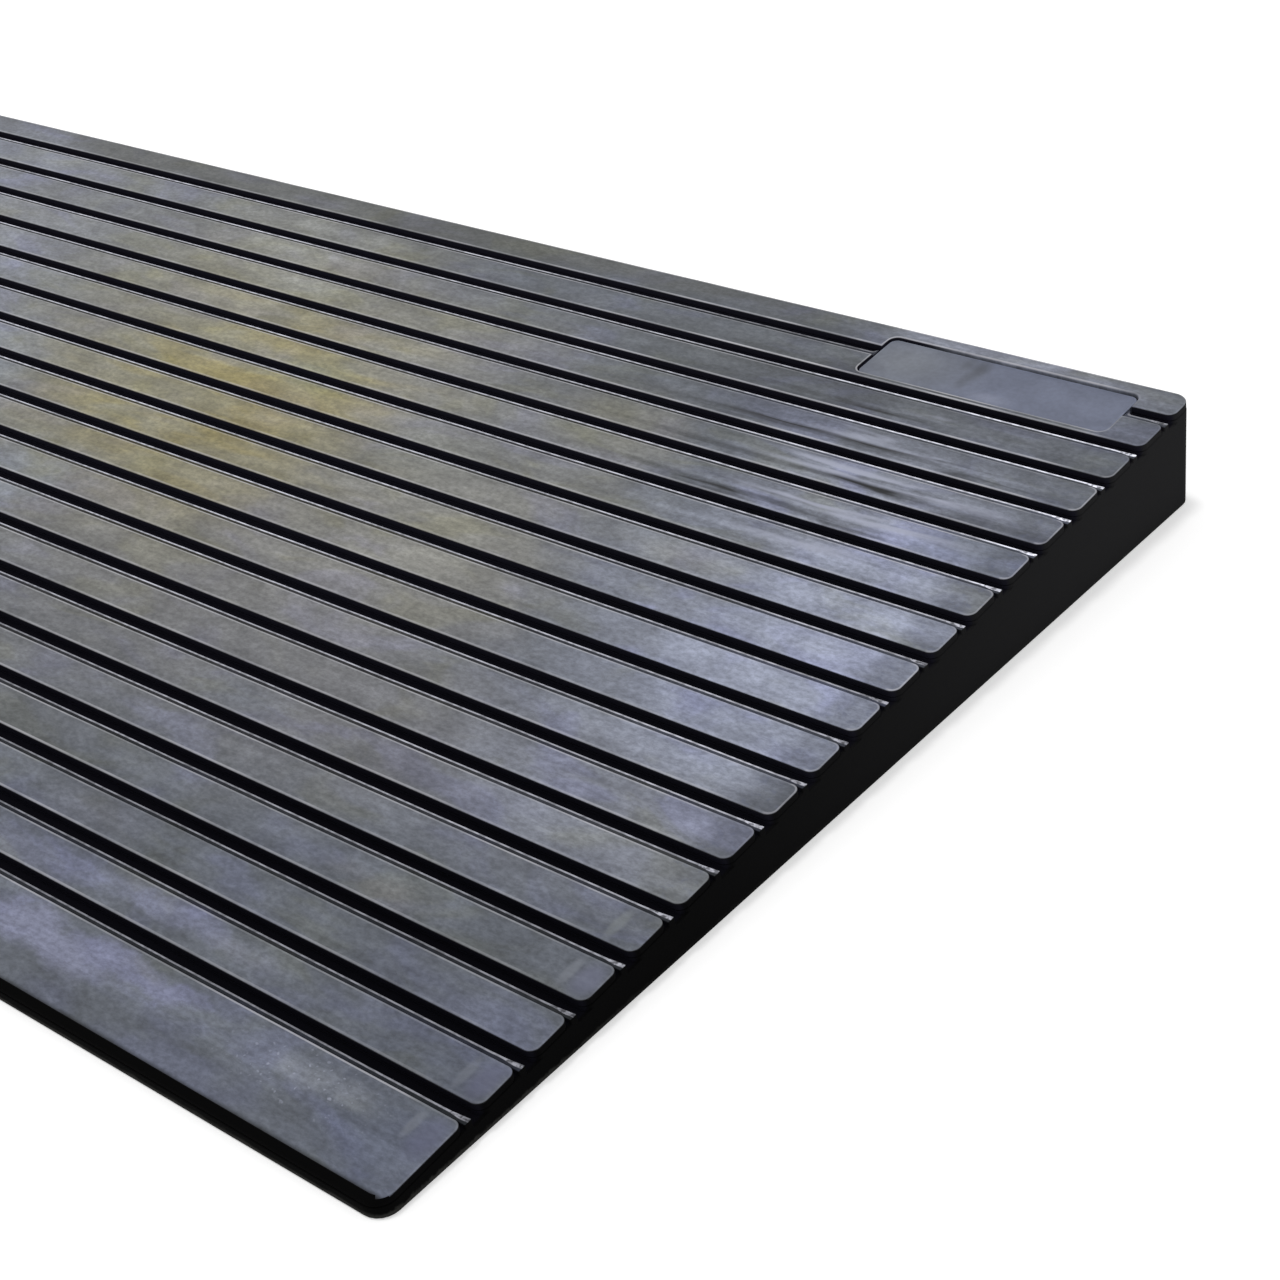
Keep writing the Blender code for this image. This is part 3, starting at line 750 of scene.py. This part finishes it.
def base_finish(tread, base):
    """Matt black rubber, with bloom and a painted highlight on the ledges between the strips, painted shade
    on the walls and in the grooves, painted light on the walls of the plate's pocket, and dust low on the
    walls.
    """
    made, tree, place = rubber_material("base rubber", MATT_SPECULAR)
    sides = split_place(tree, place)
    across = maths(tree, "ABSOLUTE", sides["X"])
    bloom = bloom_and_sheen_finish(tree, place, tuple(tread.bloom))
    ledge = product(tree, flat_top(tree), smooth_step(tree, sides["Z"], *LEDGE_FOOT),
                    smooth_step(tree, sides["Y"], *LEDGES_START))
    colour = mix_colours(tree, ledge, wall_colour(tree, place, bloom, across, sides, base),
                         ledge_colour(tree, place, bloom, across, sides))
    roughness = mix_values(tree, ledge, base.roughness, tread.roughness)
    join_rubber(tree, colour, roughness, stretched_noise(tree, place, BASE_GRAIN), BASE_RELIEF)
    return made


def plate_finish(base, plate):
    """Smooth rubber of the bare plate, blue-grey with faint smudges and a painted highlight along its rim."""
    made, tree, place = rubber_material("plate rubber", WORN_SPECULAR)
    # Painted highlight along the plate's rim
    tone = product(tree, stretched_noise(tree, place, SMUDGES), stretched_noise(tree, place, PLATE_GRAINS),
                   smooth_step(tree, highlight_rim(tree), *PLATE_RIM_HIGHLIGHT))
    bloom = scale_colour(tree, patched_colour(tree, place, tuple(plate.bloom), PLATE_PATCHES), tone)
    top = flat_top(tree)
    colour = mix_colours(tree, top, tuple(base.rubber), bloom)
    roughness = mix_values(tree, top, base.roughness, plate.roughness)
    join_rubber(tree, colour, roughness, stretched_noise(tree, place, PLATE_GRAIN), PLATE_RELIEF)
    return made


def arc(centre_x, centre_y, radius, from_degrees, to_degrees, outward=1):
    """Corners along an arc. Outward is -1 where the rubber lies outside the arc."""
    corners = []
    for step in range(CORNER_STEPS + 1):
        angle = math.radians(from_degrees + (to_degrees - from_degrees) * step / CORNER_STEPS)
        along_x, along_y = math.cos(angle), math.sin(angle)
        corners.append(Corner(centre_x + radius * along_x, centre_y + radius * along_y,
                              outward * along_x, outward * along_y))
    return corners


def rounded_outline(low, high, front_radius, back_radius, front_notch=(), back_notch=()):
    """Outline of a piece from its front right corner round to its front left one."""
    return [*arc(high.x - front_radius, low.y + front_radius, front_radius, -90, 0),
            *arc(high.x - back_radius, high.y - back_radius, back_radius, 0, 90),
            *back_notch,
            *arc(low.x + back_radius, high.y - back_radius, back_radius, 90, 180),
            *arc(low.x + front_radius, low.y + front_radius, front_radius, 180, 270),
            *front_notch]


def plate_notches(low, high):
    """Notches that the plate's pocket lets into the front and back edge of a strip."""
    plate_low, plate_high = tread_box(PLATE_NODE)
    left, right = plate_low.x - SEAT_GAP, plate_high.x + SEAT_GAP
    front, back = plate_low.y - SEAT_GAP, plate_high.y + SEAT_GAP
    radius = PLATE_CORNER + SEAT_GAP
    front_notch, back_notch = (), ()
    if low.y < front < high.y:
        back_notch = [Corner(right, high.y, -1, 1),
                      *arc(right - radius, front + radius, radius, 0, -90, -1),
                      *arc(left + radius, front + radius, radius, 270, 180, -1),
                      Corner(left, high.y, 1, 1)]
    if low.y < back < high.y:
        front_notch = [Corner(left, low.y, 1, -1),
                       *arc(left + radius, back - radius, radius, 180, 90, -1),
                       *arc(right - radius, back - radius, radius, 90, 0, -1),
                       Corner(right, low.y, -1, -1)]
    return front_notch, back_notch


def cut_evenly(shape, axis, spacing):
    """Cut a mesh straight across at even steps along one axis."""
    low, high = min(v.co[axis] for v in shape.verts), max(v.co[axis] for v in shape.verts)
    normal = Vector((0.0, 0.0, 0.0))
    normal[axis] = 1.0
    count = math.ceil((high - low) / spacing)
    for step in range(1, count):
        bmesh.ops.bisect_plane(shape, geom=shape.verts[:] + shape.edges[:] + shape.faces[:], dist=CUT_SNAP,
                               plane_co=normal * (low + (high - low) * step / count), plane_no=normal)


def border_loop(shape):
    """Vertices on the border of an open mesh, in their order round it."""
    edge = next(edge for edge in shape.edges if edge.is_boundary)
    start = vertex = edge.verts[0]
    loop = []
    while not loop or vertex != start:
        loop.append(vertex)
        vertex = edge.other_vert(vertex)
        edge = next(other for other in vertex.link_edges if other.is_boundary and other != edge)
    return loop


def even_noise(place):
    """Smooth noise from about zero to about one."""
    return 0.5 + 0.5 * noise.noise(place)


def edge_rounding(out_y, crisp, downhill_size):
    """Size of an upper edge's rounding, which differs on the downhill side."""
    return crisp + (downhill_size - crisp) * max(0.0, -out_y)


def keep_within(shape, low, high):
    """Bring any corner of a mesh that sticks out of a box back to its side."""
    for vertex in shape.verts:
        vertex.co = Vector([min(max(a, b), c) for a, b, c in zip(vertex.co, low, high)])


def raised_piece(outline, top, bottom, crisp, soft, reach, tread):
    """Closed mesh of a flat piece with a rim, where a highlight is painted, and a rounded upper edge.

    The rounding is the crisp radius. On the downhill side it drops by soft and comes in by reach instead.
    """
    shape = bmesh.new()
    push = shape.verts.layers.float_vector.new("push")
    rim = shape.verts.layers.float.new("rim")
    inner = []
    for corner in outline:
        inset = edge_rounding(corner.out_y, crisp, reach) + tread.rim_width
        vertex = shape.verts.new((corner.x - inset * corner.out_x, corner.y - inset * corner.out_y, top))
        vertex[push] = (corner.out_x, corner.out_y, 0.0)
        inner.append(vertex)
    shape.faces.new(inner)
    cut_evenly(shape, 0, tread.column_spacing)
    cut_evenly(shape, 1, tread.row_spacing)

    border = border_loop(shape)
    rings = [(RIM_START, 0.0)]
    rings += [(1.0, math.pi / 2 * step / ROUND_STEPS) for step in range(ROUND_STEPS + 1)]
    last, black = border, []
    for share, turn in rings:
        ring = []
        for vertex in border:
            out_x, out_y = vertex[push].xy
            sway = tread.wander * even_noise(vertex.co / SWAY_LENGTH)
            out = share * tread.rim_width + edge_rounding(out_y, crisp, reach) * math.sin(turn) - sway
            drop = edge_rounding(out_y, crisp, soft) * (1 - math.cos(turn))
            made = shape.verts.new((vertex.co.x + out_x * out, vertex.co.y + out_y * out, top - drop))
            made[rim] = math.cos(turn)
            ring.append(made)
        for index in range(len(ring)):
            face = shape.faces.new((last[index - 1], last[index], ring[index], ring[index - 1]))
            if top - face.calc_center_median().z > BLOOM_DEPTH:
                black.append(face)
        last = ring
    foot = [shape.verts.new((vertex.co.x, vertex.co.y, bottom)) for vertex in last]
    black += [shape.faces.new((last[index - 1], last[index], foot[index], foot[index - 1]))
              for index in range(len(foot))]
    for face in [*black, shape.faces.new(foot)]:
        face.material_index = 1
    for vertex in shape.verts:
        scaled = Vector([a / b for a, b in zip(vertex.co, RIPPLE_LENGTHS)])
        height = (vertex.co.z - bottom) / (top - bottom)
        vertex.co.z -= tread.ripple * height * even_noise(scaled)
    shape.verts.layers.float_vector.remove(push)
    return shape


def softened_base(tread, base):
    """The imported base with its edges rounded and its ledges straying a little, in the tread's frame."""
    shape = bmesh.new()
    shape.from_mesh(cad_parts[BASE_NODE].data)
    bmesh.ops.transform(shape, matrix=TREAD.inverted(), verts=shape.verts)
    bmesh.ops.remove_doubles(shape, verts=shape.verts, dist=WELD_DISTANCE)
    bmesh.ops.dissolve_limit(shape, angle_limit=FLAT_ANGLE, verts=shape.verts, edges=shape.edges)
    edges = [edge for edge in shape.edges if edge.is_manifold and edge.calc_face_angle() > EDGE_ANGLE]
    bmesh.ops.bevel(shape, geom=edges, offset=base.edge_round, offset_type="OFFSET", segments=base.edge_steps,
                    profile=0.5, affect="EDGES", clamp_overlap=False)
    cut_evenly(shape, 0, tread.column_spacing)
    lean_ledges(shape, tread, base)
    keep_within(shape, *tread_box(BASE_NODE))
    return shape


def lean_ledges(shape, tread, base):
    """Lean the ledges' lips back from their grooves, let them stray a little, and mark where their painted
    highlight goes.
    """
    rim = shape.verts.layers.float.new("rim")
    side, length = tread_box(BASE_NODE)[1].x, tread_box(BASE_NODE)[1].y
    backs = [tread_box(node)[1].y for node in STRIP_NODES if node != TOP_NODE]
    for vertex in shape.verts:
        share = min(((vertex.co.y - back) / LEDGE_WIDTH for back in backs), key=lambda s: abs(s - 1.0))
        if abs(share - 1.0) > LIP_REACH or vertex.co.z < -GROOVE_DEPTH - WELD_DISTANCE:
            continue
        height = (vertex.co.z + GROOVE_DEPTH) / (GROOVE_DEPTH - LEDGE_DEPTH)
        from_side = side - abs(vertex.co.x)
        flare = min(max(from_side / RAMP_CORNER - FLARE_START, 0.0), 1.0)
        stray = tread.wander * noise.noise(vertex.co / SWAY_LENGTH)
        vertex.co.y -= height * (base.lip_draft * (1.0 - vertex.co.y / length) + stray) * flare
        vertex[rim] = height


def place_piece(shape, node, name, finishes):
    """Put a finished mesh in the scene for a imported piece, riding on the ramp."""
    bmesh.ops.recalc_face_normals(shape, faces=shape.faces)
    bmesh.ops.transform(shape, matrix=TREAD, verts=shape.verts)
    keep_within(shape, *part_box(node))
    mesh = bpy.data.meshes.new(name)
    shape.to_mesh(mesh)
    shape.free()
    mesh.shade_smooth()
    mesh.set_sharp_from_angle(angle=SHARP_ANGLE)
    for finish in finishes:
        mesh.materials.append(finish)
    piece = bpy.data.objects.new(name, mesh)
    bpy.context.scene.collection.objects.link(piece)
    weighting = piece.modifiers.new("Weighted Normals", "WEIGHTED_NORMAL")
    weighting.keep_sharp = True
    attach(piece, "root")
    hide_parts(node)
    return piece


class RAMP_OT_mould_base(Operator):
    """Soften the edges of the black wedge that carries the strips and give it its matt rubber"""
    bl_idname = "ramp.mould_base"
    bl_label = "Mould Base"

    def execute(self, context):
        tread, base = context.scene.ramp_tread, context.scene.ramp_base
        shape = softened_base(tread, base)
        place_piece(shape, BASE_NODE, "ramp_base_rubber", [base_finish(tread, base)])
        return {"FINISHED"}


class RAMP_OT_lay_strips(Operator):
    """Raise the nineteen tread strips with their painted highlights along the rims and their dusty bloom"""
    bl_idname = "ramp.lay_strips"
    bl_label = "Lay Tread Strips"

    def execute(self, context):
        tread, base = context.scene.ramp_tread, context.scene.ramp_base
        finishes = [tread_finish(tread, base), bpy.data.materials["base rubber"]]
        for node in STRIP_NODES:
            low, high = tread_box(node)
            outline = rounded_outline(low, high, RAMP_CORNER if node == FRONT_NODE else STRIP_DOWNHILL_CORNER,
                                      RAMP_CORNER if node == TOP_NODE else STRIP_UPHILL_CORNER,
                                      *plate_notches(low, high))
            soft, reach = tread.soft_round, tread.soft_round
            if node == FRONT_NODE:
                soft, reach = tread.nose_round, tread.nose_reach
            shape = raised_piece(outline, high.z, low.z, tread.crisp_round, soft, reach, tread)
            place_piece(shape, node, node + "_rubber", finishes)
        return {"FINISHED"}


class RAMP_OT_fit_plate(Operator):
    """Fit the bare plate into its pocket near the back right corner"""
    bl_idname = "ramp.fit_plate"
    bl_label = "Fit Plate"

    def execute(self, context):
        tread, base, plate = context.scene.ramp_tread, context.scene.ramp_base, context.scene.ramp_plate
        low, high = tread_box(PLATE_NODE)
        outline = rounded_outline(low, high, PLATE_CORNER, PLATE_CORNER)
        rounding = plate.edge_round
        shape = raised_piece(outline, high.z, low.z, rounding, rounding, rounding, tread)
        finishes = [plate_finish(base, plate), bpy.data.materials["base rubber"]]
        place_piece(shape, PLATE_NODE, "label_plate_rubber", finishes)
        return {"FINISHED"}


def seen_rays(tree):
    """One for rays that show a surface to the camera, straight or by reflection, and zero for lighting."""
    rays = add_node(tree, "ShaderNodeLightPath", {}).outputs
    seen = maths(tree, "MAXIMUM", rays["Is Camera Ray"], rays["Is Glossy Ray"])
    return maths(tree, "MAXIMUM", seen, rays["Is Transmission Ray"])


def lay_floor(scene, studio):
    """Put the pale floor under the ramp."""
    shape = bmesh.new()
    bmesh.ops.create_grid(shape, x_segments=FLOOR_CUTS, y_segments=FLOOR_CUTS, size=studio.floor_size / 2,
                          matrix=Matrix.Translation((0.0, 0.0, -FLOOR_DROP)))
    mesh = bpy.data.meshes.new("studio_floor")
    shape.to_mesh(mesh)
    shape.free()
    floor = bpy.data.objects.new("studio_floor", mesh)
    scene.collection.objects.link(floor)
    paint = bpy.data.materials.new("pale floor paint")
    paint.use_nodes = True
    tree = paint.node_tree
    shader = tree.nodes["Principled BSDF"]
    shader.inputs["Base Color"].default_value = (*studio.floor_colour, 1.0)
    shader.inputs["Roughness"].default_value = FLOOR_ROUGHNESS
    shader.inputs["Specular IOR Level"].default_value = 0.0
    shader.inputs["Emission Color"].default_value = WHITE
    tree.links.new(product(tree, seen_rays(tree), studio.floor_glow), shader.inputs["Emission Strength"])
    mesh.materials.append(paint)


def light_studio(scene, studio):
    """Light the ramp evenly from all round and softly from above."""
    world = bpy.data.worlds.new("studio light")
    world.use_nodes = True
    tree = world.node_tree
    background = tree.nodes["Background"]
    background.inputs["Color"].default_value = WHITE
    strength = mix_values(tree, seen_rays(tree), studio.ambient_light, 1.0)
    tree.links.new(strength, background.inputs["Strength"])
    scene.world = world

    lamp = bpy.data.lights.new("overhead_light", "SUN")
    lamp.energy = studio.overhead_light
    lamp.angle = studio.overhead_spread
    overhead = bpy.data.objects.new("overhead_light", lamp)
    scene.collection.objects.link(overhead)
    overhead.location = LIGHT_PLACE
    overhead.rotation_mode = "QUATERNION"
    overhead.rotation_quaternion = (-LIGHT_PLACE).to_track_quat("-Z", "Y")


def set_camera(scene):
    """Look at the ramp from above its front right corner."""
    lens = bpy.data.cameras.new("camera")
    lens.lens = CAMERA_LENS
    lens.sensor_width = SENSOR_WIDTH
    camera = bpy.data.objects.new("camera", lens)
    scene.collection.objects.link(camera)
    camera.location = CAMERA_PLACE
    camera.rotation_mode = "QUATERNION"
    camera.rotation_quaternion = ((CAMERA_AIM - CAMERA_PLACE).to_track_quat("-Z", "Y")
                                  @ Quaternion((0.0, 0.0, 1.0), CAMERA_ROLL))
    scene.camera = camera


class RAMP_OT_set_studio(Operator):
    """Set up the pale floor, soft light and camera"""
    bl_idname = "ramp.set_studio"
    bl_label = "Set Up Studio"

    def execute(self, context):
        scene, studio = context.scene, context.scene.ramp_studio
        lay_floor(scene, studio)
        light_studio(scene, studio)
        set_camera(scene)
        scene.view_settings.view_transform = "Standard"
        return {"FINISHED"}


class RAMP_PT_parts(Panel):
    """Sizes and finishes of the doorway ramp"""
    bl_idname = "RAMP_PT_parts"
    bl_label = "Doorway Ramp"
    bl_space_type = "VIEW_3D"
    bl_region_type = "UI"
    bl_category = "Doorway Ramp"

    def draw(self, context):
        for operator, settings in PARTS:
            box = self.layout.box()
            box.operator(operator.bl_idname)
            group = getattr(context.scene, settings)
            for name in group.bl_rna.properties.keys():
                if name not in ("rna_type", "name"):
                    box.prop(group, name)


PARTS = ((RAMP_OT_mould_base, "ramp_base"), (RAMP_OT_lay_strips, "ramp_tread"),
         (RAMP_OT_fit_plate, "ramp_plate"), (RAMP_OT_set_studio, "ramp_studio"))
SETTINGS = {"ramp_base": DoorwayRampBase, "ramp_tread": DoorwayRampTread,
            "ramp_plate": DoorwayRampPlate, "ramp_studio": DoorwayRampStudio}
CLASSES = (*SETTINGS.values(), *(operator for operator, _settings in PARTS), RAMP_PT_parts)


def register():
    for each in CLASSES:
        bpy.utils.register_class(each)
    for name, group in SETTINGS.items():
        setattr(bpy.types.Scene, name, PointerProperty(type=group))


def unregister():
    for name in SETTINGS:
        delattr(bpy.types.Scene, name)
    for each in reversed(CLASSES):
        bpy.utils.unregister_class(each)


def main():
    register()
    bpy.ops.ramp.mould_base()
    bpy.ops.ramp.lay_strips()
    bpy.ops.ramp.fit_plate()
    bpy.ops.ramp.set_studio()


if __name__ == "__main__":
    main()
